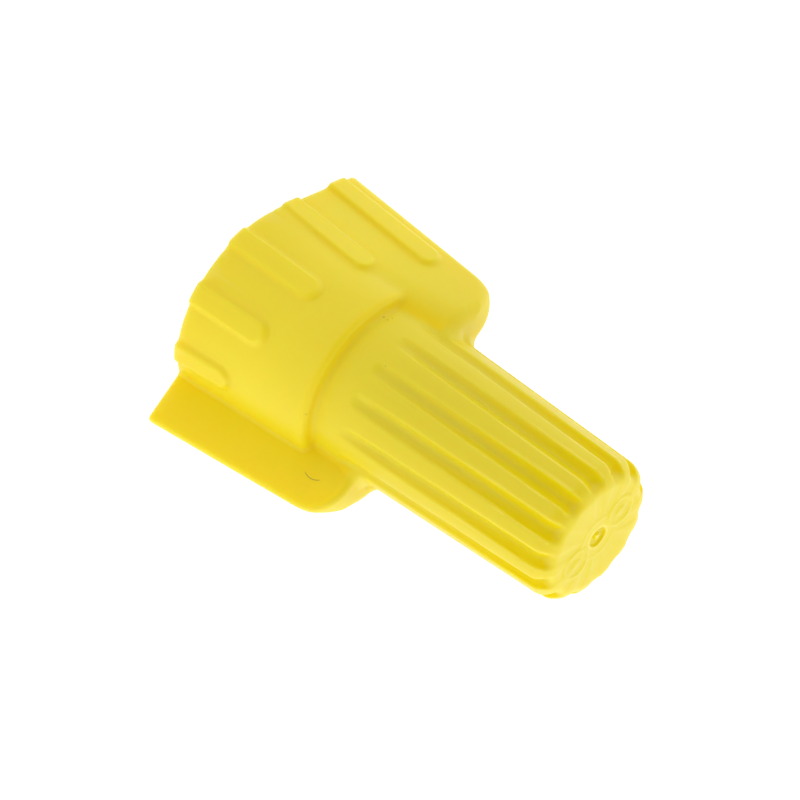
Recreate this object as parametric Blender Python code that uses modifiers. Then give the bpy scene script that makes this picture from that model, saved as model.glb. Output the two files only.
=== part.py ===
"""Winged twist-on wire connector: one moulded cap with a tapered coil spring floating inside.

The origin is at the centre of the mouth, +Z runs along the axis to the closed tip, and the
two wings lie along X. Lengths are metres. The cap has two-fold symmetry about its axis.
"""
import math

import bmesh
import bpy
from mathutils import Matrix, Vector

MM = 0.001

# Cap, outside. The hood is the wide mouth end, the barrel is the fluted tip end.
LENGTH = 28.0 * MM
HOOD_RADIUS = 6.55 * MM            # at the rim
HOOD_DRAFT = 0.062                 # radius lost per unit of height
HOOD_TOP = 9.85 * MM
HOOD_ROUNDING = 0.34 * MM          # of the shoulder, and of the cove above it
BARREL_BASE_RADIUS = 5.50 * MM     # the barrel's cone carried down to the mouth
BARREL_DRAFT = 0.0275
TIP_ROUNDING = 1.25 * MM
DIMPLE_RADIUS = 0.66 * MM
DIMPLE_FLOOR_RADIUS = 0.40 * MM
DIMPLE_DEPTH = 0.35 * MM

# Cap, inside
WALL = 1.15 * MM                   # hood wall
FUNNEL_START = 8.0 * MM
LIP_RADIUS = 3.45 * MM             # lip that keeps the spring in
LIP_BOTTOM = 11.3 * MM
LIP_TOP = 12.0 * MM
BORE_BASE_RADIUS = 4.15 * MM
BORE_TOP_RADIUS = 3.15 * MM
BORE_TOP = 26.15 * MM

# Wings: each is a wedge between a flat back face and a ramp that leaves the hood on a tangent
WING_TOP = 13.35 * MM
WING_TIP_X = 10.06 * MM            # where ramp and back face would meet, at the rim
WING_TIP_DRAFT = 0.073
WING_BACK_Y = 2.30 * MM            # back face's distance from the axis, at the rim
WING_BACK_DRAFT = 0.060
WING_NOSE_ROUNDING = 0.42 * MM
WING_CORNER_ROUNDING = 2.6 * MM
WING_ROOT_SHARE = 0.65             # of the hood's radius, where a wing starts inside the wall
SHOULDER_NORMAL = Vector((-0.10, 0.97, 0.20)).normalized()
SHOULDER_DISTANCE = 4.46 * MM      # sloping shoulder cut where hood and ramp end

# Grip bars: five on each half of the hood, evenly spaced round the outline
BAR_WIDTH = 1.44 * MM
BAR_HEIGHT = 0.28 * MM
BAR_ROOT = 0.45 * MM               # how deep a bar's block is sunk into the wall
HOOD_BARS = ((141.0, 4.05 * MM), (104.0, 5.45 * MM), (67.0, 6.5 * MM))    # angle, top
RAMP_BARS = ((1.36 * MM, 7.0 * MM), (5.6 * MM, 8.85 * MM))               # along the ramp, top

# Flutes
FLUTE_COUNT = 14
FLUTE_PHASE = 0.125                # share of a flute's pitch between +X and the first flute
FLUTE_START = 11.95 * MM
FLUTE_HALF_WIDTHS = (0.47 * MM, 0.57 * MM)     # at the start and at the tip
FLUTE_DEPTHS = (0.26 * MM, 0.50 * MM)
FLUTE_RUN_OUT = 75.0               # degrees round the tip's rounding where a flute ends
TIP_STEPS = 5

# Spring: square wire with an edge turned inwards
WIRE_HALF_DIAGONAL = 0.636 * MM    # a 0.9 mm square
SPRING_CLEARANCE = 0.30 * MM
SPRING_TURNS = 8
SPRING_PITCH = 1.5 * MM
SPRING_START = 12.82 * MM          # height of the wire's centre at the first coil
POINTS_PER_TURN = 20

TURN_STEPS = 56                    # sides of the turned shapes, four to a flute
ARC_STEPS = 4
OVERSHOOT = 1.0 * MM               # how far a cutter passes the surface that it cuts
MERGE = 0.00001


def clear_scene():
    for item in list(bpy.data.objects):
        bpy.data.objects.remove(item, do_unlink=True)


def new_collection(name):
    collection = bpy.data.collections.new(name)
    bpy.context.scene.collection.children.link(collection)
    return collection


def add_object(name, data, collection):
    item = bpy.data.objects.new(name, data)
    collection.objects.link(item)
    return item


def as_tool(item):
    """Mark an object as a guide that other shapes are cut or joined with."""
    item.hide_render = True
    item.display_type = 'WIRE'
    return item


def hood_radius(z):
    return HOOD_RADIUS - HOOD_DRAFT * z


def barrel_radius(z):
    return BARREL_BASE_RADIUS - BARREL_DRAFT * z


def bore_radius(z):
    share = (z - LIP_TOP) / (BORE_TOP - LIP_TOP)
    return BORE_BASE_RADIUS + share * (BORE_TOP_RADIUS - BORE_BASE_RADIUS)


def arc(x, z, radius, start, end, steps=ARC_STEPS):
    """Points on an arc about (x, z), angles in degrees from +X towards +Z."""
    points = []
    for step in range(steps + 1):
        angle = math.radians(start + (end - start) * step / steps)
        points.append((x + radius * math.cos(angle), z + radius * math.sin(angle)))
    return points


def turned(name, profile, collection):
    """Turn a profile about Z. It runs down the outer side, from top to bottom."""
    mesh = bpy.data.meshes.new(name)
    edges = [(index, index + 1) for index in range(len(profile) - 1)]
    mesh.from_pydata([(x, 0.0, z) for x, z in profile], edges, [])
    item = add_object(name, mesh, collection)
    screw = item.modifiers.new("turn", 'SCREW')
    screw.axis = 'Z'
    screw.steps = TURN_STEPS
    screw.render_steps = TURN_STEPS
    screw.use_merge_vertices = True
    screw.merge_threshold = MERGE
    return item


def body_profile():
    """Outside of hood and barrel, from the centre of the tip down to just past the rim."""
    tip_x = barrel_radius(LENGTH) - TIP_ROUNDING
    tip_z = LENGTH - TIP_ROUNDING
    shoulder_x = hood_radius(HOOD_TOP) - HOOD_ROUNDING
    cove_x = barrel_radius(HOOD_TOP) + HOOD_ROUNDING
    profile = [(0.0, LENGTH)]
    profile += arc(tip_x, tip_z, TIP_ROUNDING, 90.0, 0.0)
    profile += arc(cove_x, HOOD_TOP + HOOD_ROUNDING, HOOD_ROUNDING, 180.0, 270.0)
    profile += arc(shoulder_x, HOOD_TOP - HOOD_ROUNDING, HOOD_ROUNDING, 90.0, 0.0)
    profile += [(hood_radius(-OVERSHOOT), -OVERSHOOT), (0.0, -OVERSHOOT)]
    return profile


def cavity_profile():
    """Space inside the cap, from the top of the bore down past the open mouth."""
    mouth = HOOD_RADIUS - WALL
    below = 2.0 * OVERSHOOT
    return [
        (0.0, BORE_TOP),
        (BORE_TOP_RADIUS, BORE_TOP),
        (BORE_BASE_RADIUS, LIP_TOP),
        (LIP_RADIUS, LIP_TOP),
        (LIP_RADIUS, LIP_BOTTOM),
        (mouth - HOOD_DRAFT * FUNNEL_START, FUNNEL_START),
        (mouth + HOOD_DRAFT * below, -below),
        (0.0, -below),
    ]


def dimple_profile():
    """Gate dimple in the centre of the tip."""
    return [
        (0.0, LENGTH + OVERSHOOT),
        (DIMPLE_RADIUS, LENGTH + OVERSHOOT),
        (DIMPLE_RADIUS, LENGTH),
        (DIMPLE_FLOOR_RADIUS, LENGTH - DIMPLE_DEPTH),
        (0.0, LENGTH - DIMPLE_DEPTH),
    ]


def wing_tip(z):
    """Corner where the ramp and the back face of the +X wing would meet at a height."""
    return Vector((WING_TIP_X - WING_TIP_DRAFT * z, WING_BACK_DRAFT * z - WING_BACK_Y))


def ramp_angle(z):
    """Angle, from +X, of the hood's radius that the ramp is square to."""
    tip = wing_tip(z)
    return math.acos(hood_radius(z) / tip.length) + math.atan2(tip.y, tip.x)


def wing_section(z):
    """Outline of the +X wing at a height, anticlockwise from its root on the back face."""
    tip = wing_tip(z)
    normal = ramp_angle(z)
    tangent = hood_radius(z) * Vector((math.cos(normal), math.sin(normal)))
    ramp_turn = math.degrees(normal)
    half_wedge = math.radians(90.0 - ramp_turn) / 2.0
    centre_distance = WING_NOSE_ROUNDING / math.sin(half_wedge)
    inward = Vector((-math.cos(half_wedge), math.sin(half_wedge)))
    centre = tip + centre_distance * inward
    nose = arc(centre.x, centre.y, WING_NOSE_ROUNDING, -90.0, ramp_turn)
    root_x = WING_ROOT_SHARE * hood_radius(z)
    return [(root_x, tip.y)] + nose + [tuple(tangent), tuple(WING_ROOT_SHARE * tangent)]


def loft(name, outlines, heights, collection):
    """Join outlines of equal point counts into one closed solid."""
    mesh = bpy.data.meshes.new(name)
    form = bmesh.new()
    rings = []
    for outline, z in zip(outlines, heights):
        rings.append([form.verts.new((x, y, z)) for x, y in outline])
    count = len(rings[0])
    for low, high in zip(rings, rings[1:]):
        for index in range(count):
            following = (index + 1) % count
            form.faces.new((low[index], low[following], high[following], high[index]))
    form.faces.new(tuple(reversed(rings[0])))
    form.faces.new(rings[-1])
    bmesh.ops.recalc_face_normals(form, faces=form.faces[:])
    form.to_mesh(mesh)
    form.free()
    return add_object(name, mesh, collection)


def outline_solid(name, points, thickness, collection):
    """A flat outline in XY, made solid by extruding it along Z about its middle."""
    curve = bpy.data.curves.new(name, 'CURVE')
    curve.dimensions = '2D'
    curve.fill_mode = 'BOTH'
    curve.extrude = thickness / 2.0
    spline = curve.splines.new('POLY')
    spline.points.add(len(points) - 1)
    for point, (x, y) in zip(spline.points, points):
        point.co = (x, y, 0.0, 1.0)
    spline.use_cyclic_u = True
    return mesh_from_curve(add_object(name, curve, collection), collection)


def mesh_from_curve(item, collection):
    """Replace a curve object with its own welded mesh, so that it can be cut and joined."""
    bpy.context.view_layer.update()
    graph = bpy.context.evaluated_depsgraph_get()
    mesh = bpy.data.meshes.new_from_object(item.evaluated_get(graph))
    form = bmesh.new()
    form.from_mesh(mesh)
    bmesh.ops.remove_doubles(form, verts=form.verts[:], dist=MERGE)
    bmesh.ops.recalc_face_normals(form, faces=form.faces[:])
    form.to_mesh(mesh)
    form.free()
    name = item.name
    placement = item.matrix_world.copy()
    bpy.data.objects.remove(item, do_unlink=True)
    solid = add_object(name, mesh, collection)
    solid.matrix_world = placement
    return solid


def boolean(item, other, operation):
    step = item.modifiers.new(operation.lower(), 'BOOLEAN')
    step.operation = operation
    step.object = other
    step.solver = 'EXACT'


def boolean_all(item, collection, operation):
    step = item.modifiers.new(operation.lower(), 'BOOLEAN')
    step.operation = operation
    step.operand_type = 'COLLECTION'
    step.collection = collection
    step.solver = 'EXACT'


def wing_side_outline():
    """Side view of a wing, as (x, z): a leaning outer edge with a big rounded top corner."""
    lean = math.atan(WING_TIP_DRAFT)
    top = WING_TOP
    outer = WING_TIP_X - WING_TIP_DRAFT * top - WING_NOSE_ROUNDING
    centre_x = outer + WING_TIP_DRAFT * WING_CORNER_ROUNDING - WING_CORNER_ROUNDING
    corner = arc(centre_x, top - WING_CORNER_ROUNDING, WING_CORNER_ROUNDING,
                 math.degrees(lean), 90.0, 2 * ARC_STEPS)
    below = 2.0 * OVERSHOOT
    foot = outer + WING_TIP_DRAFT * (top + below)
    return [(0.0, -below), (foot, -below)] + corner + [(0.0, top)]


def wing(half, tools):
    """One wing, turned half a turn for the second one."""
    heights = (-OVERSHOOT, WING_TOP + OVERSHOOT)
    outlines = [wing_section(z) for z in heights]
    body = as_tool(loft(f"wing_{half}", outlines, heights, tools["joined"]))
    side = as_tool(outline_solid(f"wing_side_{half}", wing_side_outline(), LENGTH,
                                 tools["guides"]))
    side.rotation_euler = (math.pi / 2.0, 0.0, half * math.pi)
    shoulder = shoulder_cutter(half, tools["guides"])
    body.rotation_euler.z = half * math.pi
    boolean(body, side, 'INTERSECT')
    boolean(body, shoulder, 'DIFFERENCE')


def block_above(name, collection):
    """Large block standing on the XY plane, used to trim what lies above a plane."""
    mesh = bpy.data.meshes.new(name)
    form = bmesh.new()
    shift = Matrix.Translation((0.0, 0.0, LENGTH / 2.0))
    bmesh.ops.create_cube(form, size=LENGTH, matrix=shift)
    form.to_mesh(mesh)
    form.free()
    return as_tool(add_object(name, mesh, collection))


def shoulder_cutter(half, collection):
    """Block whose flat face is the sloping shoulder of a wing."""
    block = block_above(f"shoulder_{half}", collection)
    turn = SHOULDER_NORMAL.to_track_quat('Z', 'Y').to_matrix().to_4x4()
    place = Matrix.Translation(SHOULDER_DISTANCE * SHOULDER_NORMAL) @ turn
    block.matrix_world = Matrix.Rotation(half * math.pi, 4, 'Z') @ place
    return block


def bar_outline(top):
    """A bar seen square on, as (across, up): straight sides and a round upper end."""
    half_width = BAR_WIDTH / 2.0
    cap = arc(0.0, top - half_width, half_width, 0.0, 180.0, 2 * ARC_STEPS)
    return [(half_width, -OVERSHOOT)] + cap + [(-half_width, -OVERSHOOT)]


def bar(name, normal_angle, along, top, tools):
    """One grip bar. It stands on the hood's slope, moved sideways along the ramp if asked."""
    thickness = BAR_HEIGHT + BAR_ROOT
    block = as_tool(outline_solid(name, bar_outline(top), thickness, tools["joined"]))
    # Local X runs across the bar, local Y up it and local Z out of the wall.
    out = Vector((math.cos(normal_angle), math.sin(normal_angle), HOOD_DRAFT)).normalized()
    across = Vector((math.sin(normal_angle), -math.cos(normal_angle), 0.0))
    up = out.cross(across)
    if up.z < 0.0:
        up = -up
    frame = Matrix((across, up, across.cross(up))).transposed().to_4x4()
    foot = HOOD_RADIUS * Vector((math.cos(normal_angle), math.sin(normal_angle), 0.0))
    centre = foot + along * across + (BAR_HEIGHT - thickness / 2.0) * out
    block.matrix_world = Matrix.Translation(centre) @ frame
    return block


def bars(tools):
    """Ten bars: three on the hood and two on the ramp, then the same half a turn on."""
    ramp = ramp_angle(0.0)
    for half in range(2):
        turn = half * math.pi
        for index, (angle, top) in enumerate(HOOD_BARS):
            bar(f"bar_{half}_{index}", math.radians(angle) + turn, 0.0, top, tools)
        for index, (along, top) in enumerate(RAMP_BARS, start=len(HOOD_BARS)):
            bar(f"bar_{half}_{index}", ramp + turn, along, top, tools)


def flute_circle(share):
    """Radius of a flute's round cutter and its centre's depth, from start (0) to tip (1)."""
    half_width = FLUTE_HALF_WIDTHS[0] + share * (FLUTE_HALF_WIDTHS[1] - FLUTE_HALF_WIDTHS[0])
    depth = FLUTE_DEPTHS[0] + share * (FLUTE_DEPTHS[1] - FLUTE_DEPTHS[0])
    radius = (half_width ** 2 + depth ** 2) / (2.0 * depth)
    return radius, radius - depth


def flute_path():
    """Centre line of a flute's cutter as (x, z, radius): up the barrel, then over the tip.

    Over the tip's rounding the cutter lifts off, so that the flute runs out below the flat end.
    """
    points = []
    straight_top = LENGTH - TIP_ROUNDING
    for z in (FLUTE_START, straight_top):
        radius, outset = flute_circle((z - FLUTE_START) / (LENGTH - FLUTE_START))
        points.append((barrel_radius(z) + outset, z, radius))
    radius, outset = flute_circle(1.0)
    centre_x = barrel_radius(LENGTH) - TIP_ROUNDING
    for step in range(1, TIP_STEPS + 1):
        share = step / TIP_STEPS
        lift = FLUTE_DEPTHS[1] * share ** 2
        turn = math.radians(FLUTE_RUN_OUT * share)
        reach = TIP_ROUNDING + outset + lift
        x = centre_x + reach * math.cos(turn)
        points.append((x, straight_top + reach * math.sin(turn), radius))
    return points


def flutes(tools):
    """Cutters for the flutes, one for each, evenly round the barrel."""
    path = flute_path()
    for index in range(FLUTE_COUNT):
        name = f"flute_{index}"
        curve = bpy.data.curves.new(name, 'CURVE')
        curve.dimensions = '3D'
        curve.bevel_depth = 1.0
        curve.bevel_resolution = 2
        curve.use_fill_caps = True
        spline = curve.splines.new('POLY')
        spline.points.add(len(path) - 1)
        for point, (x, z, radius) in zip(spline.points, path):
            point.co = (x, 0.0, z, 1.0)
            point.radius = radius
        item = add_object(name, curve, tools["flutes"])
        item.rotation_euler.z = 2.0 * math.pi * (index + FLUTE_PHASE) / FLUTE_COUNT
        as_tool(mesh_from_curve(item, tools["flutes"]))


def make_shell(parts, tools):
    """The moulded cap: fluted body, with wings and bars joined and then the inside cut.

    Body, wings and bars all pass below the rim, and one block trims them flat.
    """
    shell = turned("shell", body_profile(), parts)
    for half in range(2):
        wing(half, tools)
    bars(tools)
    flutes(tools)
    as_tool(turned("cavity", cavity_profile(), tools["cut"]))
    as_tool(turned("dimple", dimple_profile(), tools["cut"]))
    block_above("below_rim", tools["cut"]).rotation_euler.x = math.pi
    boolean_all(shell, tools["flutes"], 'DIFFERENCE')
    boolean_all(shell, tools["joined"], 'UNION')
    boolean_all(shell, tools["cut"], 'DIFFERENCE')
    shell.data.materials.append(
        material("yellow_polypropylene", (0.82, 0.64, 0.045), 0.42, 0.0))
    return shell


def spring_point(turn):
    """Centre of the wire after a number of turns, following the tapering bore."""
    z = SPRING_START + SPRING_PITCH * turn
    radius = bore_radius(z) - SPRING_CLEARANCE - WIRE_HALF_DIAGONAL
    angle = 2.0 * math.pi * turn
    return radius * math.cos(angle), radius * math.sin(angle), z


def make_spring(parts):
    """Tapered coil. Four sides to the wire, with one corner towards the axis."""
    curve = bpy.data.curves.new("spring", 'CURVE')
    curve.dimensions = '3D'
    curve.twist_mode = 'Z_UP'
    curve.bevel_depth = WIRE_HALF_DIAGONAL
    curve.bevel_resolution = 0
    curve.use_fill_caps = True
    count = SPRING_TURNS * POINTS_PER_TURN + 1
    spline = curve.splines.new('POLY')
    spline.points.add(count - 1)
    for index, point in enumerate(spline.points):
        point.co = (*spring_point(index / POINTS_PER_TURN), 1.0)
    spring = add_object("spring", curve, parts)
    spring.data.materials.append(
        material("zinc_plated_steel", (0.70, 0.71, 0.72), 0.32, 1.0))
    return spring


def material(name, colour, roughness, metallic):
    made = bpy.data.materials.new(name)
    made.use_nodes = True
    shader = made.node_tree.nodes["Principled BSDF"]
    shader.inputs["Base Color"].default_value = (*colour, 1.0)
    shader.inputs["Roughness"].default_value = roughness
    shader.inputs["Metallic"].default_value = metallic
    return made


def main():
    clear_scene()
    parts = new_collection("twist_wire_connector")
    uses = ("flutes", "joined", "cut", "guides")
    tools = {use: new_collection(f"tools_{use}") for use in uses}
    make_shell(parts, tools)
    make_spring(parts)


main()
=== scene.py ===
"""Looks of a winged twist-on wire connector: a moulded yellow cap and the coil spring inside it.

The cap's surface is the zero level of one distance field, meshed here with a surface net. The field
is written in millimetres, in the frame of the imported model: the origin is at the centre of the
mouth, +Z runs to the closed tip and the wings lie along X. It has two-fold symmetry about Z.
"""
import math

import bpy
import numpy as np
from mathutils import Matrix, Vector


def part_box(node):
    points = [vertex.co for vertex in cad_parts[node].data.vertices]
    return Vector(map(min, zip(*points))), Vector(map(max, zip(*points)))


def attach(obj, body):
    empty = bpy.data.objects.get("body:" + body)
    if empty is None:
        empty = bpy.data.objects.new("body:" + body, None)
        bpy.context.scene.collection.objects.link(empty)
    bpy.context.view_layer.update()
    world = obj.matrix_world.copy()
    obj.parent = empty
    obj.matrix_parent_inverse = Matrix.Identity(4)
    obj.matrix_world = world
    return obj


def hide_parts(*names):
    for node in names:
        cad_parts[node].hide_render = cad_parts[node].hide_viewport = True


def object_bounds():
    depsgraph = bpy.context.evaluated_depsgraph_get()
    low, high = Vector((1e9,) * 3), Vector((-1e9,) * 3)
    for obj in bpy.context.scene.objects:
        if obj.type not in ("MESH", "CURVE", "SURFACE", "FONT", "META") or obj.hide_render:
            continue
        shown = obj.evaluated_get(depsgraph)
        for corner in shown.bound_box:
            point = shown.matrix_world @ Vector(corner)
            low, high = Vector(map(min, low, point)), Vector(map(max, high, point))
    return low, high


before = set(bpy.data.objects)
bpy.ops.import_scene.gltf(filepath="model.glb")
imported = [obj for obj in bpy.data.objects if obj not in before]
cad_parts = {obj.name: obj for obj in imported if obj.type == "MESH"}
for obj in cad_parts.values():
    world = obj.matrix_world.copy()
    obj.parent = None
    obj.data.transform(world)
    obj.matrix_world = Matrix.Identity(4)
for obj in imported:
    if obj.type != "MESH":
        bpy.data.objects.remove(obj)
CAD_LOW, CAD_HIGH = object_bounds()
SHELL_LOW, SHELL_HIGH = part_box("shell")

MM = 0.001

# Cap, outside (mm)
LENGTH = (SHELL_HIGH.z - SHELL_LOW.z) / MM
HOOD_RADIUS = 6.55
HOOD_DRAFT = 0.062
HOOD_TOP = 9.85
HOOD_ROUNDING = 0.42
BARREL_COVE = 0.42
WING_COVE = 0.75                                             # between a wing's end and the barrel
WING_COVE_HEIGHTS = (11.8, 13.0)
BARREL_BASE_RADIUS = 5.50
BARREL_DRAFT = 0.0275
TIP_ROUNDING = 1.25
RIM_ROUNDING = 0.12

# Wings (mm)
WING_TOP = 13.35
WING_TIP_X = 10.06
WING_TIP_DRAFT = 0.073
WING_BACK_Y = 2.30
WING_BACK_DRAFT = 0.060
WING_NOSE_ROUNDING = 0.42
WING_CORNER_ROUNDING = 2.6
WING_END_ROUNDING = 0.42
WING_END_MARGIN = 0.12
WING_FILLET = 0.25
RAMP_END_ROUNDING = 0.9
SHOULDER_NORMAL = (-0.10, 0.97, 0.20)
SHOULDER_DISTANCE = 4.46
SHOULDER_ROUNDING = 1.5

# Grip bars (mm)
BAR_WIDTH = 1.44
BAR_HEIGHT = 0.28
BAR_ROOT = 0.60
BAR_ROUNDING = 0.20
BAR_FILLET = 0.30
HOOD_BARS = ((141.0, 4.05), (104.0, 5.45), (67.0, 6.5))      # angle, top
RAMP_BARS = ((1.36, 7.0), (5.6, 8.85))                       # along the ramp, top

# Flutes (mm)
FLUTE_COUNT = 14
FLUTE_PHASE = math.radians(3.9)
FLUTE_START = 11.95
FLUTE_HALF_WIDTHS = (0.47, 0.57)                             # at the surface
FLUTE_DEPTHS = (0.26, 0.50)
FLUTE_WALL_SLOPE = 0.50                                      # width gained per unit of height
FLUTE_END_SLOPE = 1.2
FLUTE_FLOOR_ROUNDING = 0.34
FLUTE_EDGE = 0.11
FLUTE_EASE = 2.2                                             # length over which a flute deepens
FLUTE_EASE_SHARE = 0.45
FLUTE_RUN_OUT = (math.radians(30.0), math.radians(80.0))     # round the tip, where it ends

# Tip (mm)
DIMPLE_RADIUS = 0.66
DIMPLE_DEPTH = 0.26
DIMPLE_EDGE = 0.10
NUB_RADIUS = 0.25
NUB_SINK = 0.09                                              # its top, below the face
RELIEF = 0.06                                                # height of the marks on the face
MARKS = ((2.04, -0.40), (-2.04, 0.40))                       # centres of the two round marks
MARK_RADIUS = 1.00
MARK_EDGE = 0.24                                             # half width of a mark's soft edge
MARK_DISC = 0.45
COLLAR_RADIUS = 1.45
COLLAR_SHARE = 0.5

# Cap, inside (mm)
WALL = 1.15
FUNNEL_START = 8.0
LIP_RADIUS = 3.45
LIP_BOTTOM = 11.3
LIP_TOP = 12.0
BORE_BASE_RADIUS = 4.15
BORE_TOP_RADIUS = 3.15
BORE_TOP = 26.15
CAVITY_ROUNDING = 0.30
LIP_ROUNDING = 0.12

# Meshing (mm)
GRID_STEP = 0.13
GRID_MARGINS = (2.5, 3.0)                                    # in steps, below and above the box
KEPT_TRIANGLES = 190000
GRADIENT_STEP = 0.002
LEAST_STEEPNESS = 0.25
SETTLE_ROUNDS = (3, 2)                                       # before and after thinning

# Masks on the mesh, for the plastic's painted light and shade, shine and roughness (lengths in mm)
CREASE_REACHES = (0.4, 0.8, 1.6)
SHADE_REACHES = (3.0, 5.0)
EDGE_REACH = 0.25
EDGE_START = 0.98
EDGE_SPAN = 0.12
# Painted shade where the hood's top step and the wings' roots meet the barrel
ROOT_NEAR = 0.20
ROOT_REACH = 1.0
ROOT_HEIGHTS = (9.2, 13.2)
ROOT_FADES = (0.5, 0.6)                                      # at the lower and the upper height
ROOT_UPWARD_LOSS = 0.6                                       # on faces turned upwards
# Painted light on the wings' flat back faces, standing in for light bounced from the hood
BACK_START = 5.2
BACK_FADE = 1.5
BACK_FACING = (0.8, 0.2)                                     # start and span

# Spring (mm)
WIRE_HALF_DIAGONAL = 0.636
WIRE_CORNER = 0.10
WIRE_CORNER_STEPS = 2                                        # on each side of a corner
SPRING_CLEARANCE = 0.30
SPRING_TURNS = 8
SPRING_PITCH = 1.5
SPRING_START = 12.82
SPRING_POINTS_PER_TURN = 60
SPRING_SHARP_ANGLE = math.radians(40.0)

NOISE_RANGE = (0.3, 0.7)                                     # where most of a noise's values lie

# Plastic. Sizes are in mm; a speck is angle, height, distance from the axis and size.
# Painted light and shade: the hood's colour is lighter than the barrel's, standing in for light
# that passes through the hood's thin wall.
PLASTIC_PAINTED_LIT_HOOD = (0.850, 0.697, 0.0070)                        # painted light: the hood, lit through its thin wall
PLASTIC_PAINTED_SHADED_BARREL = (0.765, 0.628, 0.0045)                       # painted shade: the barrel, darker than the hood
HOOD_TO_BARREL_SHADING_HEIGHTS = (6.0, 15.0)
PIGMENT_VARIATION = 0.10
PLASTIC_EDGE_HIGHLIGHT = (0.87, 0.71, 0.020)                           # painted highlight on its convex edges
# Painted shade in corners.
PLASTIC_CORNER_SHADE = (0.86, 0.67, 0.006)
# Painted shade at the wings' roots and the hood's top step.
PLASTIC_ROOT_SHADE = (0.85, 0.635, 0.005)
PLASTIC_GROOVE_SHADE = (0.81, 0.655, 0.002)                        # painted shade on the flutes' floors near the tip
GROOVE_HEIGHTS = (17.0, 25.0)
# Painted light on the wings' flat back faces, standing in for light bounced from the hood.
PLASTIC_BACK_BOUNCE_LIGHT = (0.88, 0.69, 0.004)
EDGE_HIGHLIGHT_SHARE = 0.6
CORNER_SHADE_RANGE = (0.10, 0.60)
GROOVE_RANGE = (0.05, 0.20)
PLASTIC_IOR = 1.46
PLASTIC_ROUGHNESS = (0.38, 0.46)
EDGE_POLISH = 0.12
SHINE_RANGE = (0.05, 0.60)
SHINES = (0.5, 0.08)                                         # in the open and in a corner
EDGE_SHINE = 0.4
ROOT_SHINE = 0.25
GROOVE_SHINE = 0.25
BACK_SHINE = 0.5
DUST_WEIGHT = 0.05
DUST_ROUGHNESS = 0.4
SCATTER_WEIGHT = 0.5
SCATTER_RADIUS = (1.0, 0.6, 0.08)
SCATTER_SCALE = 1.6
DIRT = (0.12, 0.10, 0.05)
MARK_STRENGTH = 0.65
PIGMENT_SIZE = 3.0
SHEEN_SIZE = 1.1
GRAIN_SIZE = 0.10
GRAIN_HEIGHT = 0.002
WAVE_SIZE = 1.6
WAVE_HEIGHT = 0.012
SPECK_RAGGED = 0.14
SPECK_RAGGED_SIZE = 0.12
SPECK_FADE = (0.6, 1.4)                                      # in sizes
SPECKS = (
    (-102.0, 4.9, 6.25, 0.06),
    (-99.5, 5.2, 6.23, 0.05),
    (-48.0, 0.75, 6.50, 0.06),
    (-132.1, 10.1, 5.26, 0.10),
    (-132.6, 10.4, 5.22, 0.10),
    (-136.5, 10.45, 5.21, 0.09),
    (-103.6, 12.6, 5.12, 0.09),
    (-48.9, 9.75, 5.80, 0.11),
    (-49.4, 9.86, 5.57, 0.08),
    (-27.5, 6.8, 6.13, 0.05),
    (-123.0, 27.85, 3.82, 0.06),
)
HAIR_CIRCLE = (5.83, 10.96, 0.97)                            # x, z and radius
HAIR_MIDDLE = (6.78, -1.63, 11.05)
HAIR_LENGTH = 1.3
HAIR_WIDTH = 0.035
HAIR_CORE = 0.3                                              # share of the width that is solid
HAIR_BODY = 0.7                                              # share of the length that is solid

# Steel (sizes in mm)
STEEL_BRIGHT = (0.74, 0.75, 0.76)
STEEL_DULL = (0.60, 0.62, 0.65)
STEEL_ROUGHNESS = (0.24, 0.40)
MOTTLE_SIZE = 0.8
MOTTLE_DETAIL = 4.0
DRAWN_SIZE = 0.05
DRAWN_HEIGHT = 0.003

# Floor
FLOOR_COLOUR = (0.25, 0.25, 0.25)
FLOOR_ROUGHNESS = 0.9
FLOOR_GLOW = 0.88
FLOOR_HALF_SIZE = 3.0                                        # in m

# Light
OPENING_HEIGHT = math.radians(27.0)
OPENING_TURN = math.radians(8.0)
TENT_LIGHT = 1.46
OPENING_LIGHT = 0.40
OPENING_EDGE = 0.35                                          # cosine of the opening's half angle
SIDE_GAIN = 0.14
TOP_GAIN = -0.04

# Camera
VIEW_ELEVATION = math.radians(26.9)
VIEW_ROLL = math.radians(55.4)
VIEW_DISTANCE = 400.0 * MM
VIEW_AIM = Vector((-0.04, 0.0, 12.13)) * MM
VIEW_LENS = 302.5
SENSOR_WIDTH = 36.0                                          # in mm, like the lens
CLIP_START = 10.0 * MM
CLIP_END = 20.0                                              # in m


def rounded_union(a, b, radius):
    """Union of two distance fields, with a fillet where they meet."""
    u = np.maximum(radius - a, 0.0)
    v = np.maximum(radius - b, 0.0)
    return np.maximum(radius, np.minimum(a, b)) - np.sqrt(u * u + v * v)


def rounded_overlap(a, b, radius):
    """What two fields share, with a rounded edge where they meet."""
    return -rounded_union(-a, -b, radius)


def smooth_step(share):
    """0 below 0 and 1 above 1, with a smooth change between."""
    share = np.clip(share, 0.0, 1.0)
    return share * share * (3.0 - 2.0 * share)


def cone_distance(rho, z, base, draft):
    """Distance to a cone about Z that has the base radius at z = 0."""
    return (rho - base + draft * z) / math.hypot(1.0, draft)


def ramp_at(z):
    """Angle of the +X wing's ramp and the corner where it would meet the back face, at z."""
    tip_x = WING_TIP_X - WING_TIP_DRAFT * z
    tip_y = WING_BACK_DRAFT * z - WING_BACK_Y
    radius = HOOD_RADIUS - HOOD_DRAFT * z
    angle = np.arccos(radius / np.hypot(tip_x, tip_y)) + np.arctan2(tip_y, tip_x)
    return angle, tip_x, tip_y, radius


def ramp_distance(x, y, z):
    """Distance to the +X wing's ramp."""
    angle, _, _, radius = ramp_at(z)
    return (x * np.cos(angle) + y * np.sin(angle) - radius) / math.hypot(1.0, HOOD_DRAFT)


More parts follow.
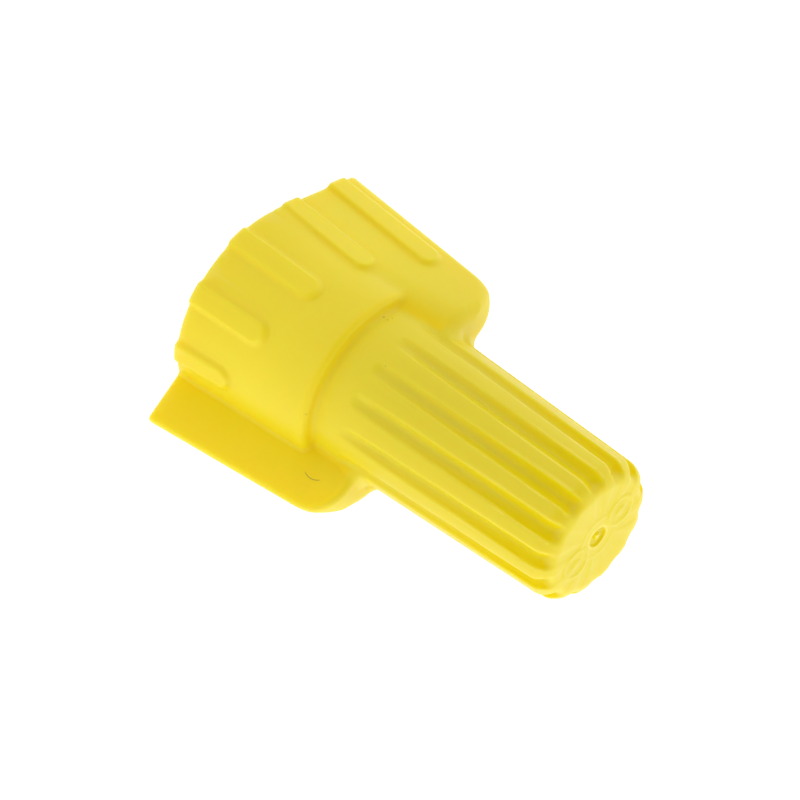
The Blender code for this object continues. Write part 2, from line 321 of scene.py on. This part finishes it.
def wing(x, y, z):
    """The +X wing: a wedge between ramp and back face, with a rounded nose, end and shoulder."""
    angle, tip_x, tip_y, _ = ramp_at(z)
    ramp = ramp_distance(x, y, z)
    back = tip_y - y
    half_wedge = (0.5 * math.pi - angle) / 2.0
    centre_distance = WING_NOSE_ROUNDING / np.sin(half_wedge)
    from_x = x - (tip_x - centre_distance * np.cos(half_wedge))
    from_y = y - (tip_y + centre_distance * np.sin(half_wedge))
    at_nose = (from_x > 0.0) & (from_y * np.cos(angle) < from_x * np.sin(angle))
    nose = np.hypot(from_x, from_y) - WING_NOSE_ROUNDING
    wedge = np.where(at_nose, nose, np.maximum(ramp, back))
    beyond_tangent = y * np.cos(angle) - x * np.sin(angle)
    section = np.maximum(wedge, beyond_tangent)
    edge_base = WING_TIP_X - WING_NOSE_ROUNDING + WING_END_MARGIN
    edge = (x - edge_base + WING_TIP_DRAFT * z) / math.hypot(1.0, WING_TIP_DRAFT)
    end = rounded_overlap(edge, z - WING_TOP, WING_CORNER_ROUNDING)
    body = rounded_overlap(section, end, WING_END_ROUNDING)
    normal = Vector(SHOULDER_NORMAL).normalized()
    shoulder = normal.x * x + normal.y * y + normal.z * z - SHOULDER_DISTANCE
    ramp_side = rounded_overlap(ramp, shoulder, SHOULDER_ROUNDING)
    return np.maximum(body, rounded_overlap(ramp_side, z - WING_TOP, RAMP_END_ROUNDING))


def bar(x, y, z, surface, angle, along, top):
    """A raised bar on a surface whose distance is given. It has straight sides and a round end."""
    across = x * np.sin(angle) - y * np.cos(angle) - along
    half_width = BAR_WIDTH / 2.0
    outline = np.hypot(across, np.maximum(z - top + half_width, 0.0)) - half_width
    raised = rounded_overlap(outline, surface - BAR_HEIGHT, BAR_ROUNDING)
    return np.maximum(raised, -(surface + BAR_ROOT))


def bars(x, y, z):
    """Five bars of one half: three on the hood's cone and two on the ramp."""
    rho = np.hypot(x, y)
    cone = cone_distance(rho, z, HOOD_RADIUS, HOOD_DRAFT)
    found = np.full(np.broadcast(x, y, z).shape, LENGTH, np.float64)
    for degrees, top in HOOD_BARS:
        angle = math.radians(degrees)
        facing = x * math.cos(angle) + y * math.sin(angle)
        surface = np.where(facing > 0.0, cone, LENGTH)
        found = np.minimum(found, bar(x, y, z, surface, angle, 0.0, top))
    angle, tip_x, _, _ = ramp_at(z)
    ramp = ramp_distance(x, y, z)
    for along, top in RAMP_BARS:
        shrink = tip_x / WING_TIP_X
        found = np.minimum(found, bar(x, y, z, ramp, angle, along * shrink, top))
    return found


def face_relief(x, y):
    """Height on the tip's flat face: a low collar round the gate and two plain round marks."""
    collar = COLLAR_SHARE * smooth_step(1.0 - np.abs(np.hypot(x, y) - COLLAR_RADIUS) / MARK_EDGE)
    highest = collar
    for centre_x, centre_y in MARKS:
        away = np.hypot(x - centre_x, y - centre_y)
        ring = smooth_step(1.0 - np.abs(away - MARK_RADIUS) / MARK_EDGE)
        disc = smooth_step((MARK_DISC - away) / MARK_EDGE)
        highest = np.maximum(highest, np.maximum(ring, disc))
    return RELIEF * highest


def gate_dimple(rho, z):
    """The round dimple left by the gate, with a low nub standing in it."""
    floor = LENGTH - DIMPLE_DEPTH
    hollow = rounded_overlap(rho - DIMPLE_RADIUS, floor - z, DIMPLE_EDGE)
    nub = rounded_overlap(rho - NUB_RADIUS, z - LENGTH + NUB_SINK, DIMPLE_EDGE)
    return rounded_overlap(hollow, -nub, DIMPLE_EDGE)


def barrel(x, y, z):
    """The tapering barrel with its rounded tip, flutes and gate dimple."""
    rho = np.hypot(x, y)
    cone = cone_distance(rho, z, BARREL_BASE_RADIUS, BARREL_DRAFT)
    pitch = 2.0 * math.pi / FLUTE_COUNT
    phase = (np.arctan2(y, x) - FLUTE_PHASE + pitch / 2.0) % pitch - pitch / 2.0
    share = np.clip((z - FLUTE_START) / (LENGTH - FLUTE_START), 0.0, 1.0)
    half_width = FLUTE_HALF_WIDTHS[0] + share * (FLUTE_HALF_WIDTHS[1] - FLUTE_HALF_WIDTHS[0])
    depth = FLUTE_DEPTHS[0] + share * (FLUTE_DEPTHS[1] - FLUTE_DEPTHS[0])
    eased = smooth_step((z - FLUTE_START) / FLUTE_EASE)
    depth = depth * (1.0 - FLUTE_EASE_SHARE * (1.0 - eased))
    from_tip = z - LENGTH + TIP_ROUNDING
    from_centre = rho - BARREL_BASE_RADIUS + BARREL_DRAFT * LENGTH + TIP_ROUNDING
    turn = np.where(from_tip > 0.0, np.arctan2(from_tip, from_centre), 0.0)
    start, stop = FLUTE_RUN_OUT
    depth = depth * (1.0 - smooth_step((turn - start) / (stop - start)))
    rounded = rounded_overlap(cone, z - LENGTH + RELIEF - face_relief(x, y), TIP_ROUNDING)
    walls = np.abs(rho * np.sin(phase)) - half_width - FLUTE_WALL_SLOPE * rounded
    walls = walls / math.hypot(1.0, FLUTE_WALL_SLOPE)
    end = (FLUTE_START - z - FLUTE_END_SLOPE * rounded) / math.hypot(1.0, FLUTE_END_SLOPE)
    sides = rounded_overlap(walls, end, FLUTE_FLOOR_ROUNDING)
    groove = rounded_overlap(sides, -rounded - depth, FLUTE_FLOOR_ROUNDING)
    fluted = rounded_overlap(rounded, -groove, FLUTE_EDGE)
    return rounded_overlap(fluted, -gate_dimple(rho, z), DIMPLE_EDGE)


def cavity(x, y, z):
    """The space inside: mouth and funnel up to the lip, and the spring's bore above it."""
    rho = np.hypot(x, y)
    mouth_radius = HOOD_RADIUS - WALL
    mouth = cone_distance(rho, z, mouth_radius, HOOD_DRAFT)
    funnel_top = mouth_radius - HOOD_DRAFT * FUNNEL_START
    funnel_draft = (funnel_top - LIP_RADIUS) / (LIP_BOTTOM - FUNNEL_START)
    funnel = cone_distance(rho, z - FUNNEL_START, funnel_top, funnel_draft)
    lower = rounded_overlap(mouth, rounded_union(funnel, rho - LIP_RADIUS, CAVITY_ROUNDING),
                            CAVITY_ROUNDING)
    lower = np.maximum(lower, z - LIP_TOP - LIP_ROUNDING)
    bore_draft = (BORE_BASE_RADIUS - BORE_TOP_RADIUS) / (BORE_TOP - LIP_TOP)
    bore = cone_distance(rho, z - LIP_TOP, BORE_BASE_RADIUS, bore_draft)
    upper = rounded_overlap(bore, np.maximum(z - BORE_TOP, LIP_TOP - z), LIP_ROUNDING)
    return rounded_union(lower, upper, LIP_ROUNDING)


def shell_field(x, y, z):
    """Distance to the cap's surface, negative in the plastic. Coordinates are in mm."""
    cone = cone_distance(np.hypot(x, y), z, HOOD_RADIUS, HOOD_DRAFT)
    hood = rounded_overlap(cone, z - HOOD_TOP, HOOD_ROUNDING)
    wings = np.minimum(wing(x, y, z), wing(-x, -y, z))
    grips = np.minimum(bars(x, y, z), bars(-x, -y, z))
    outside = rounded_union(hood, wings, WING_FILLET)
    outside = rounded_union(outside, grips, BAR_FILLET)
    low, high = WING_COVE_HEIGHTS
    cove = BARREL_COVE + (WING_COVE - BARREL_COVE) * smooth_step((z - low) / (high - low))
    outside = rounded_union(outside, barrel(x, y, z), cove)
    walls = rounded_overlap(outside, -cavity(x, y, z), RIM_ROUNDING)
    return rounded_overlap(walls, -z, RIM_ROUNDING)


def gradient(field, points):
    """Gradient of a field at an array of points, by central differences."""
    found = np.empty_like(points)
    for axis in range(3):
        step = np.zeros(3)
        step[axis] = GRADIENT_STEP
        ahead = field(*(points + step).T)
        behind = field(*(points - step).T)
        found[:, axis] = (ahead - behind) / (2.0 * GRADIENT_STEP)
    return found


def settle(field, points, rounds):
    """Move points along the gradient until they lie on the field's zero surface."""
    for _ in range(rounds):
        slope = gradient(field, points)
        steepness = np.maximum((slope ** 2).sum(1), LEAST_STEEPNESS)
        move = field(*points.T) / steepness
        points = points - np.clip(move, -GRID_STEP, GRID_STEP)[:, None] * slope
    return points


def surface_net(field, low, high, step):
    """Quads on a field's zero surface: a point in each crossed cell, a quad on each crossed edge.

    Grid planes fall half a step off the box's low sides, so that none lies on the rim.
    """
    before, after = GRID_MARGINS
    axes = [np.arange(a - before * step, b + after * step, step) for a, b in zip(low, high)]
    values = field(*np.meshgrid(*axes, indexing='ij', sparse=True))
    inside = values < 0.0
    shape = values.shape
    keys = []
    crossings = []
    flips = []
    for axis in range(3):
        near = [slice(None)] * 3
        far = [slice(None)] * 3
        near[axis] = slice(None, -1)
        far[axis] = slice(1, None)
        crossed = np.argwhere(inside[tuple(near)] != inside[tuple(far)])
        ahead = crossed.copy()
        ahead[:, axis] += 1
        start = values[tuple(crossed.T)]
        end = values[tuple(ahead.T)]
        point = crossed.astype(float)
        point[:, axis] += start / (start - end)
        second = (axis + 1) % 3
        third = (axis + 2) % 3
        around = []
        for shift in ((1, 1), (0, 1), (0, 0), (1, 0)):
            cell = crossed.copy()
            cell[:, second] -= shift[0]
            cell[:, third] -= shift[1]
            around.append(np.ravel_multi_index(tuple(cell.T), shape))
        keys.append(np.stack(around, 1))
        crossings.append(point)
        flips.append(~inside[tuple(crossed.T)])
    keys = np.concatenate(keys)
    crossings = np.concatenate(crossings)
    flips = np.concatenate(flips)
    _, quads = np.unique(keys, return_inverse=True)
    quads = quads.reshape(keys.shape)
    counts = np.bincount(quads.ravel())
    points = np.empty((len(counts), 3))
    for axis in range(3):
        sums = np.bincount(quads.ravel(), np.repeat(crossings[:, axis], 4))
        points[:, axis] = axes[axis][0] + step * sums / counts
    quads[flips] = quads[flips][:, ::-1]
    return points, quads


def mesh_from_arrays(name, points, faces):
    """A mesh from an array of points and an array of faces that all have as many sides."""
    mesh = bpy.data.meshes.new(name)
    sides = faces.shape[1]
    mesh.vertices.add(len(points))
    mesh.vertices.foreach_set("co", points.astype(np.float32).ravel())
    mesh.loops.add(faces.size)
    mesh.loops.foreach_set("vertex_index", faces.astype(np.int32).ravel())
    mesh.polygons.add(len(faces))
    mesh.polygons.foreach_set("loop_start", np.arange(0, faces.size, sides, dtype=np.int32))
    mesh.update(calc_edges=True)
    mesh.validate()
    return mesh


def add_object(name, mesh):
    """A new object in the scene."""
    item = bpy.data.objects.new(name, mesh)
    bpy.context.scene.collection.objects.link(item)
    return item


def vertex_array(mesh):
    """A mesh's vertices as an array."""
    points = np.empty(len(mesh.vertices) * 3, np.float32)
    mesh.vertices.foreach_get("co", points)
    return points.reshape(-1, 3).astype(float)


def corner_shade(points, normals):
    """How enclosed each point of the surface is, from 0 in the open to 1 deep in a corner; it sets
    the painted shade in corners. The longest reaches count less on faces turned upwards.
    """
    found = np.zeros(len(points))
    sideways = 1.0 - np.clip(normals[:, 2], 0.0, 1.0)
    for reach in CREASE_REACHES + SHADE_REACHES:
        free = shell_field(*(points + reach * normals).T) / reach
        weight = sideways if reach in SHADE_REACHES else 1.0
        found += weight * np.clip(1.0 - free, 0.0, 1.0)
    return found / len(CREASE_REACHES)


def convex_edge(points, normals):
    """1 on sharp convex edges, 0 on flat or hollow surfaces. It sets a painted highlight in the
    colour there, and the shine and roughness.
    """
    inside = -shell_field(*(points - EDGE_REACH * normals).T) / EDGE_REACH
    return smooth_step((EDGE_START - inside) / EDGE_SPAN)


def root_shade(points, normals):
    """Mask for painted shade: 1 where the hood's top step and the wings' roots meet the barrel,
    fading away from it.
    """
    x, y, z = points.T
    off_barrel = np.hypot(x, y) - BARREL_BASE_RADIUS + BARREL_DRAFT * z
    near = smooth_step(1.0 - (off_barrel - ROOT_NEAR) / ROOT_REACH)
    stands_off = smooth_step(off_barrel / ROOT_NEAR)
    low, high = ROOT_HEIGHTS
    low_fade, high_fade = ROOT_FADES
    sideways = 1.0 - ROOT_UPWARD_LOSS * np.clip(normals[:, 2], 0.0, 1.0)
    in_reach = smooth_step((z - low) / low_fade) * smooth_step((high - z) / high_fade)
    return near * stands_off * sideways * in_reach


def wing_back(points, normals):
    """1 on the flat back faces of the wings, where light bounced from the hood is painted."""
    facing = -normals[:, 1] * np.sign(points[:, 0])
    outside = smooth_step((np.abs(points[:, 0]) - BACK_START) / BACK_FADE)
    start, span = BACK_FACING
    return smooth_step((facing - start) / span) * outside


def add_attribute(mesh, name, values):
    """Store one value per vertex, for a material to read."""
    layer = mesh.attributes.new(name, 'FLOAT', 'POINT')
    layer.data.foreach_set("value", values.astype(np.float32))


def shell_piece():
    """The cap's fine mesh, thinned where it is flat, with normals taken from the field."""
    low = np.array(SHELL_LOW) / MM
    high = np.array(SHELL_HIGH) / MM
    points, quads = surface_net(shell_field, low, high, GRID_STEP)
    first_rounds, last_rounds = SETTLE_ROUNDS
    points = settle(shell_field, points, first_rounds)
    item = add_object("cap_shell", mesh_from_arrays("cap_shell", points, quads))
    thin = item.modifiers.new("thin", 'DECIMATE')
    thin.ratio = KEPT_TRIANGLES / (2.0 * len(quads))
    bpy.context.view_layer.update()
    graph = bpy.context.evaluated_depsgraph_get()
    mesh = bpy.data.meshes.new_from_object(item.evaluated_get(graph))
    item.modifiers.clear()
    item.data = mesh
    points = settle(shell_field, vertex_array(mesh), last_rounds)
    slope = gradient(shell_field, points)
    normals = slope / np.linalg.norm(slope, axis=1)[:, None]
    mesh.vertices.foreach_set("co", (points * MM).astype(np.float32).ravel())
    mesh.update()
    mesh.shade_smooth()
    mesh.normals_split_custom_set_from_vertices(normals.astype(np.float32))
    add_attribute(mesh, "corner_shade", corner_shade(points, normals))
    add_attribute(mesh, "edge", convex_edge(points, normals))
    add_attribute(mesh, "root", root_shade(points, normals))
    add_attribute(mesh, "back", wing_back(points, normals))
    return item


def bore_radius(z):
    """Radius of the spring's bore at a height in mm."""
    share = (z - LIP_TOP) / (BORE_TOP - LIP_TOP)
    return BORE_BASE_RADIUS + share * (BORE_TOP_RADIUS - BORE_BASE_RADIUS)


def wire_section():
    """Square wire with rounded corners, as (out from the axis, up), a corner towards the axis."""
    section = []
    centre = WIRE_HALF_DIAGONAL - WIRE_CORNER * math.sqrt(2.0)
    for corner in range(4):
        turn = corner * math.pi / 2.0
        for step in range(-WIRE_CORNER_STEPS, WIRE_CORNER_STEPS + 1):
            angle = turn + step * math.pi / (4.0 * WIRE_CORNER_STEPS)
            out = centre * math.cos(turn) + WIRE_CORNER * math.cos(angle)
            up = centre * math.sin(turn) + WIRE_CORNER * math.sin(angle)
            section.append((out, up))
    return section


def spring_piece():
    """Tapered coil swept from the wire's section, with flat cut ends."""
    section = wire_section()
    sides = len(section)
    rings = SPRING_TURNS * SPRING_POINTS_PER_TURN + 1
    points = []
    for ring in range(rings):
        turn = ring / SPRING_POINTS_PER_TURN
        z = SPRING_START + SPRING_PITCH * turn
        radius = bore_radius(z) - SPRING_CLEARANCE - WIRE_HALF_DIAGONAL
        angle = 2.0 * math.pi * turn
        for out, up in section:
            reach = radius + out
            points.append((reach * math.cos(angle), reach * math.sin(angle), z + up))
    mesh = bpy.data.meshes.new("coil_spring")
    faces = []
    for ring in range(rings - 1):
        for side in range(sides):
            after = (side + 1) % sides
            a = ring * sides + side
            b = ring * sides + after
            faces.append((a, a + sides, b + sides, b))
    faces.append(tuple(range(sides)))
    last = (rings - 1) * sides
    faces.append(tuple(last + side for side in reversed(range(sides))))
    mesh.from_pydata([Vector(point) * MM for point in points], [], faces)
    mesh.update()
    mesh.shade_smooth()
    mesh.set_sharp_from_angle(angle=SPRING_SHARP_ANGLE)
    return add_object("coil_spring", mesh)


def principled(name):
    """A new material, its node tree and its principled shader."""
    made = bpy.data.materials.new(name)
    made.use_nodes = True
    tree = made.node_tree
    return made, tree, tree.nodes["Principled BSDF"]


def linked(tree, kind, links=(), **settings):
    """A new node, with its settings and the links into its inputs."""
    node = tree.nodes.new(kind)
    for name, value in settings.items():
        setattr(node, name, value)
    for slot, source in links:
        tree.links.new(source, node.inputs[slot])
    return node


def remap(tree, source, low, high, low_value=0.0, high_value=1.0):
    """Map one range of a value to another, clamped."""
    node = linked(tree, 'ShaderNodeMapRange', [("Value", source)])
    node.inputs["From Min"].default_value = low
    node.inputs["From Max"].default_value = high
    node.inputs["To Min"].default_value = low_value
    node.inputs["To Max"].default_value = high_value
    return node.outputs["Result"]


def by_mask(tree, mask, at_zero, at_one):
    """A value that runs from one number to another as a mask runs from 0 to 1."""
    return remap(tree, mask, 0.0, 1.0, at_zero, at_one)


def arithmetic(tree, operation, a, b):
    """A maths node on two values, each a socket or a number."""
    node = linked(tree, 'ShaderNodeMath', operation=operation)
    for index, value in enumerate((a, b)):
        if isinstance(value, bpy.types.NodeSocket):
            tree.links.new(value, node.inputs[index])
        else:
            node.inputs[index].default_value = value
    return node.outputs["Value"]


def blend(tree, factor, a, b):
    """Mix two colours, each a socket or a colour, by a factor."""
    node = linked(tree, 'ShaderNodeMix', data_type='RGBA')
    tree.links.new(factor, node.inputs["Factor"])
    for index, value in ((6, a), (7, b)):
        if isinstance(value, bpy.types.NodeSocket):
            tree.links.new(value, node.inputs[index])
        else:
            node.inputs[index].default_value = (*value, 1.0)
    return node.outputs[2]


def noise(tree, place, size, detail=2.0):
    """Noise whose features have about the given size, from 0 to 1."""
    node = linked(tree, 'ShaderNodeTexNoise', [("Vector", place)])
    node.inputs["Scale"].default_value = 1.0 / size
    node.inputs["Detail"].default_value = detail
    return node.outputs[0]


def bump(tree, height, distance, links=()):
    """A normal raised by a height from 0 to 1 times a distance in metres."""
    node = linked(tree, 'ShaderNodeBump', [("Height", height), *links])
    node.inputs["Strength"].default_value = 1.0
    node.inputs["Distance"].default_value = distance
    return node.outputs["Normal"]


def distance_to(tree, place, point):
    """Distance from each shaded place to one point."""
    node = linked(tree, 'ShaderNodeVectorMath', [(0, place)], operation='DISTANCE')
    node.inputs[1].default_value = point
    return node.outputs["Value"]


def surface_point(degrees, z, rho):
    """A point given by angle, height and distance from the axis in mm, in metres."""
    angle = math.radians(degrees)
    return Vector((rho * math.cos(angle), rho * math.sin(angle), z)) * MM


def handling_marks(tree, place):
    """Small dark specks, and one curved hair scratch on a wing's flat face, as a mask."""
    ragged = noise(tree, place, SPECK_RAGGED_SIZE * MM)
    ragged = arithmetic(tree, 'MULTIPLY', ragged, SPECK_RAGGED * MM)
    inner, outer = SPECK_FADE
    total = None
    for degrees, z, rho, size in SPECKS:
        away = distance_to(tree, place, surface_point(degrees, z, rho))
        away = arithmetic(tree, 'ADD', away, ragged)
        mask = remap(tree, away, inner * size * MM, outer * size * MM, 1.0, 0.0)
        total = mask if total is None else arithmetic(tree, 'MAXIMUM', total, mask)
    x, z, radius = HAIR_CIRCLE
    parts = linked(tree, 'ShaderNodeSeparateXYZ', [("Vector", place)])
    flat = linked(tree, 'ShaderNodeCombineXYZ')
    tree.links.new(parts.outputs["X"], flat.inputs["X"])
    tree.links.new(parts.outputs["Z"], flat.inputs["Z"])
    round_way = distance_to(tree, flat.outputs["Vector"], Vector((x, 0.0, z)) * MM)
    off_line = arithmetic(tree, 'SUBTRACT', round_way, radius * MM)
    off_line = arithmetic(tree, 'ABSOLUTE', off_line, 0.0)
    hair = remap(tree, off_line, HAIR_CORE * HAIR_WIDTH * MM, HAIR_WIDTH * MM, 1.0, 0.0)
    middle = distance_to(tree, place, Vector(HAIR_MIDDLE) * MM)
    reach = HAIR_LENGTH / 2.0 * MM
    near = remap(tree, middle, HAIR_BODY * reach, reach, 1.0, 0.0)
    hair = arithmetic(tree, 'MULTIPLY', hair, near)
    return arithmetic(tree, 'MAXIMUM', total, hair)


def plastic_material():
    """Satin yellow polypropylene, slightly translucent, with painted shade in its corners, at the
    wings' roots and on the flutes' floors near the tip, and painted light on its edges, the wings'
    back faces and the hood.
    """
    made, tree, shader = principled("yellow_polypropylene")
    shader.inputs["IOR"].default_value = PLASTIC_IOR
    shader.inputs["Sheen Weight"].default_value = DUST_WEIGHT
    shader.inputs["Sheen Roughness"].default_value = DUST_ROUGHNESS
    shader.inputs["Subsurface Weight"].default_value = SCATTER_WEIGHT
    shader.inputs["Subsurface Radius"].default_value = SCATTER_RADIUS
    shader.inputs["Subsurface Scale"].default_value = SCATTER_SCALE * MM
    place = linked(tree, 'ShaderNodeTexCoord').outputs["Object"]
    enclosed, edge, root, back = (
        linked(tree, 'ShaderNodeAttribute', attribute_name=name).outputs["Fac"]
        for name in ("corner_shade", "edge", "root", "back")
    )

    height = linked(tree, 'ShaderNodeSeparateXYZ', [("Vector", place)]).outputs["Z"]
    # Painted light and shade: the hood lighter and the barrel darker, blended by height.
    low, high = HOOD_TO_BARREL_SHADING_HEIGHTS
    barrel_shading = remap(tree, height, low * MM, high * MM)
    pigment = noise(tree, place, PIGMENT_SIZE * MM)
    pigment = remap(tree, pigment, *NOISE_RANGE, 0.0, PIGMENT_VARIATION)
    colour = blend(tree, arithmetic(tree, 'ADD', barrel_shading, pigment), PLASTIC_PAINTED_LIT_HOOD, PLASTIC_PAINTED_SHADED_BARREL)
    # Painted highlight on convex edges.
    colour = blend(tree, by_mask(tree, edge, 0.0, EDGE_HIGHLIGHT_SHARE), colour, PLASTIC_EDGE_HIGHLIGHT)
    # Painted shade in corners.
    colour = blend(tree, remap(tree, enclosed, *CORNER_SHADE_RANGE), colour, PLASTIC_CORNER_SHADE)
    # Painted shade on the flutes' floors near the tip.
    low, high = GROOVE_HEIGHTS
    groove = remap(tree, height, low * MM, high * MM)
    groove = arithmetic(tree, 'MULTIPLY', groove, remap(tree, enclosed, *GROOVE_RANGE))
    colour = blend(tree, groove, colour, PLASTIC_GROOVE_SHADE)
    # Painted shade at the wings' roots and the hood's top step.
    colour = blend(tree, root, colour, PLASTIC_ROOT_SHADE)
    # Painted bounce light on the wings' flat back faces.
    colour = blend(tree, back, colour, PLASTIC_BACK_BOUNCE_LIGHT)
    marks = handling_marks(tree, place)
    colour = blend(tree, arithmetic(tree, 'MULTIPLY', marks, MARK_STRENGTH), colour, DIRT)
    tree.links.new(colour, shader.inputs["Base Color"])

    sheen = noise(tree, place, SHEEN_SIZE * MM)
    rough = remap(tree, sheen, *NOISE_RANGE, *PLASTIC_ROUGHNESS)
    rough = arithmetic(tree, 'SUBTRACT', rough, by_mask(tree, edge, 0.0, EDGE_POLISH))
    tree.links.new(rough, shader.inputs["Roughness"])
    shine = remap(tree, enclosed, *SHINE_RANGE, *SHINES)
    shine = arithmetic(tree, 'ADD', shine, by_mask(tree, edge, 0.0, EDGE_SHINE))
    for mask, kept in ((root, ROOT_SHINE), (groove, GROOVE_SHINE), (back, BACK_SHINE)):
        shine = arithmetic(tree, 'MULTIPLY', shine, by_mask(tree, mask, 1.0, kept))
    tree.links.new(shine, shader.inputs["Specular IOR Level"])

    grain = bump(tree, noise(tree, place, GRAIN_SIZE * MM), GRAIN_HEIGHT * MM)
    waves = noise(tree, place, WAVE_SIZE * MM)
    surface = bump(tree, waves, WAVE_HEIGHT * MM, [("Normal", grain)])
    tree.links.new(surface, shader.inputs["Normal"])
    return made


def steel_material():
    """Zinc-plated spring wire: bright metal with fine drawing marks and a mottled plating."""
    made, tree, shader = principled("zinc_plated_steel")
    shader.inputs["Metallic"].default_value = 1.0
    place = linked(tree, 'ShaderNodeTexCoord').outputs["Object"]
    mottle = noise(tree, place, MOTTLE_SIZE * MM, MOTTLE_DETAIL)
    colour = blend(tree, remap(tree, mottle, *NOISE_RANGE), STEEL_BRIGHT, STEEL_DULL)
    tree.links.new(colour, shader.inputs["Base Color"])
    rough = remap(tree, mottle, *NOISE_RANGE, *STEEL_ROUGHNESS)
    tree.links.new(rough, shader.inputs["Roughness"])
    drawn = bump(tree, noise(tree, place, DRAWN_SIZE * MM), DRAWN_HEIGHT * MM)
    tree.links.new(drawn, shader.inputs["Normal"])
    return made


def floor_piece():
    """Wide pale floor at the height of the rim."""
    made, _, shader = principled("studio_floor")
    shader.inputs["Base Color"].default_value = (*FLOOR_COLOUR, 1.0)
    shader.inputs["Roughness"].default_value = FLOOR_ROUGHNESS
    shader.inputs["Specular IOR Level"].default_value = 0.0
    shader.inputs["Emission Color"].default_value = (1.0, 1.0, 1.0, 1.0)
    shader.inputs["Emission Strength"].default_value = FLOOR_GLOW
    mesh = bpy.data.meshes.new("studio_floor")
    signs = ((-1, -1), (1, -1), (1, 1), (-1, 1))
    corners = [(x * FLOOR_HALF_SIZE, y * FLOOR_HALF_SIZE, CAD_LOW.z) for x, y in signs]
    mesh.from_pydata(corners, [], [(0, 1, 2, 3)])
    floor = add_object("studio_floor", mesh)
    floor.data.materials.append(made)


def towards(tree, place, direction):
    """How far each direction of the world points along a given one."""
    node = linked(tree, 'ShaderNodeVectorMath', [(0, place)], operation='DOT_PRODUCT')
    node.inputs[1].default_value = direction
    return node.outputs["Value"]


def studio_light():
    """A white tent of light, dimmer towards its opening. It looks plain white to the camera."""
    world = bpy.data.worlds.new("studio")
    world.use_nodes = True
    tree = world.node_tree
    background = tree.nodes["Background"]
    background.inputs["Strength"].default_value = 1.0
    place = linked(tree, 'ShaderNodeTexCoord').outputs["Generated"]
    opening = (
        -math.sin(OPENING_TURN) * math.cos(OPENING_HEIGHT),
        -math.cos(OPENING_TURN) * math.cos(OPENING_HEIGHT),
        math.sin(OPENING_HEIGHT),
    )
    dim = linked(tree, 'ShaderNodeMapRange', [("Value", towards(tree, place, opening))],
                 interpolation_type='SMOOTHSTEP')
    dim.inputs["From Min"].default_value = OPENING_EDGE
    dim.inputs["From Max"].default_value = 1.0
    dim.inputs["To Min"].default_value = TENT_LIGHT
    dim.inputs["To Max"].default_value = OPENING_LIGHT
    light = dim.outputs["Result"]
    lean = towards(tree, place, (SIDE_GAIN, 0.0, TOP_GAIN))
    gain = linked(tree, 'ShaderNodeMath', [(0, lean), (1, light), (2, light)],
                  operation='MULTIPLY_ADD')
    path = linked(tree, 'ShaderNodeLightPath')
    seen = linked(tree, 'ShaderNodeMix', [
        ("Factor", path.outputs["Is Camera Ray"]),
        ("A", gain.outputs["Value"]),
    ])
    seen.inputs["B"].default_value = 1.0
    tree.links.new(seen.outputs["Result"], background.inputs["Color"])
    bpy.context.scene.world = world


def photo_camera():
    """Camera on the -Y side, above the horizon, rolled so that the tip points down to the right."""
    back = Vector((0.0, -math.cos(VIEW_ELEVATION), math.sin(VIEW_ELEVATION)))
    side = Vector((-1.0, 0.0, 0.0))
    along = Vector((0.0, math.sin(VIEW_ELEVATION), math.cos(VIEW_ELEVATION)))
    right = math.cos(VIEW_ROLL) * side + math.sin(VIEW_ROLL) * along
    up = math.sin(VIEW_ROLL) * side - math.cos(VIEW_ROLL) * along
    data = bpy.data.cameras.new("camera")
    data.sensor_width = SENSOR_WIDTH
    data.lens = VIEW_LENS
    data.clip_start = CLIP_START
    data.clip_end = CLIP_END
    camera = bpy.data.objects.new("camera", data)
    bpy.context.scene.collection.objects.link(camera)
    turn = Matrix((right, up, back)).transposed().to_4x4()
    camera.matrix_world = Matrix.Translation(VIEW_AIM + VIEW_DISTANCE * back) @ turn
    bpy.context.scene.camera = camera


photo_camera()
studio_light()
floor_piece()

shell = shell_piece()
shell.data.materials.append(plastic_material())
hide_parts("shell")
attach(shell, "shell")

spring = spring_piece()
spring.data.materials.append(steel_material())
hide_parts("spring")
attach(spring, "spring")

bpy.context.scene.view_settings.view_transform = 'Standard'
